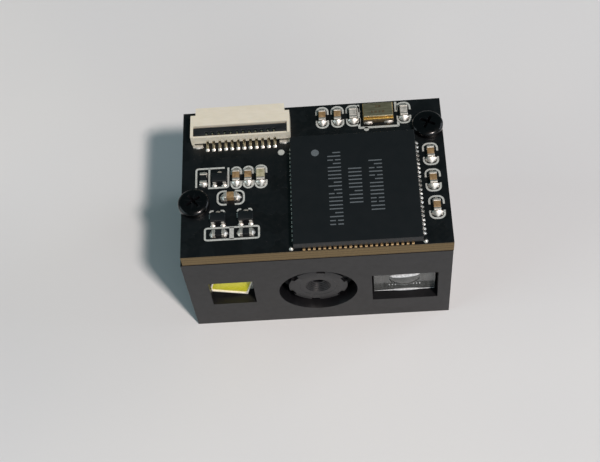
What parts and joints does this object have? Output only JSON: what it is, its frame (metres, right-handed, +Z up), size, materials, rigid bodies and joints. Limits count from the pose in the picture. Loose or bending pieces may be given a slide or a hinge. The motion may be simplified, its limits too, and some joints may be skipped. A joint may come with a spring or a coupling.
{
  "type": "barcode scan engine module",
  "caption": "Small fixed-mount code reading camera module: black housing with lens, lamp and aiming windows in front, decoder board with flat cable connector on top.",
  "frame": {"origin": "middle of the mounting face under the housing", "axes": "+Z up through the decoder board, the lens looks along -Y, +X to the right seen from the front"},
  "size_m": [0.0215, 0.0138, 0.0128],
  "materials": {
    "housing_plastic": "fine moulded texture, black",
    "board_mask": "black solder mask, satin",
    "package_epoxy": "moulded epoxy, dark grey",
    "tin": "matte tin plating",
    "gold": "thin gold plating",
    "connector_ivory": "ivory nylon, moulded",
    "connector_black": "black nylon, moulded",
    "contact_bronze": "tinned bronze",
    "dark_ceramic": "fired, matte",
    "brown_ceramic": "fired, satin",
    "pale_ceramic": "fired, satin",
    "grey_ferrite": "fired, satin",
    "resistor_film": "black overcoat",
    "crystal_cap": "plated cover, satin",
    "black_screw": "black oxide",
    "plain_screw": "zinc plated",
    "lens_black": "black anodised",
    "inner_black": "black, moulded",
    "lens_glass": "coated glass",
    "filter_glass": "infrared cut coating",
    "sensor_package": "chip scale package",
    "green_board": "green solder mask",
    "white_board": "white solder mask",
    "polyimide": "amber film",
    "lamp_white": "white reflector nylon",
    "phosphor": "yellow phosphor in silicone",
    "clear_plastic": "clear moulded lens"
  },
  "bodies": {
    "root": {"housing": "housing_plastic", "rear_cover": "housing_plastic", "cover_screws": "black_screw", "decoder_board": "board_mask", "board_screws": "black_screw", "processor": "package_epoxy", "processor_leads": "gold", "connector_housing": "connector_ivory", "connector_contacts": "contact_bronze", "connector_tabs": "tin", "crystal_base": "dark_ceramic", "crystal_ring": "gold", "crystal_lid": "crystal_cap", "capacitor_bodies": "brown_ceramic", "capacitor_ends": "tin", "large_capacitor": "pale_ceramic", "large_capacitor_ends": "tin", "bead_bodies": "grey_ferrite", "bead_ends": "tin", "resistor_bodies": "resistor_film", "resistor_ends": "tin", "transistor_bodies": "package_epoxy", "transistor_leads": "tin", "memory_chip": "package_epoxy", "memory_pads": "tin", "regulator": "package_epoxy", "regulator_leads": "tin", "underside_capacitors": "brown_ceramic", "underside_capacitor_ends": "tin", "lens_holder": "inner_black", "sensor_screws": "plain_screw", "ir_filter": "filter_glass", "image_sensor": "sensor_package", "sensor_cover_glass": "lens_glass", "sensor_board": "green_board", "sensor_socket": "connector_ivory", "sensor_flex": "polyimide", "board_socket": "connector_ivory", "lamp_board": "white_board", "lamp_package": "lamp_white", "lamp_phosphor": "phosphor", "lamp_pins": "gold", "aiming_lens": "clear_plastic", "aiming_tunnel": "inner_black", "aiming_led": "lamp_white"},
    "cable_lock": {"connector_lock": "connector_black"},
    "focus_glass": {"front_lens": "lens_glass", "lens_spacer": "inner_black", "rear_lens": "lens_glass"},
    "focus_barrel": {"lens_barrel": "lens_black", "lens_retainer": "inner_black"}
  },
  "joints": [
    {"name": "cable_lock_flip", "type": "hinge", "parent": "root", "child": "cable_lock", "pos_m": [-0.00568, 0.00442, 0.01255], "axis": [-1, 0, 0], "range_deg": [0, 95]},
    {"name": "focus_travel", "type": "slide", "parent": "root", "child": "focus_glass", "axis": [0, 1, 0], "range_m": [-0.000175, 0.000175]},
    {"name": "focus_turn", "type": "hinge", "parent": "focus_glass", "child": "focus_barrel", "pos_m": [-0.00012, -0.00645, 0.00499], "axis": [0, 1, 0], "range_deg": [-180, 180]}
  ],
  "couplings": [
    {"joint": "focus_turn", "follows": "focus_travel", "rad_per_m": 17952}
  ]
}
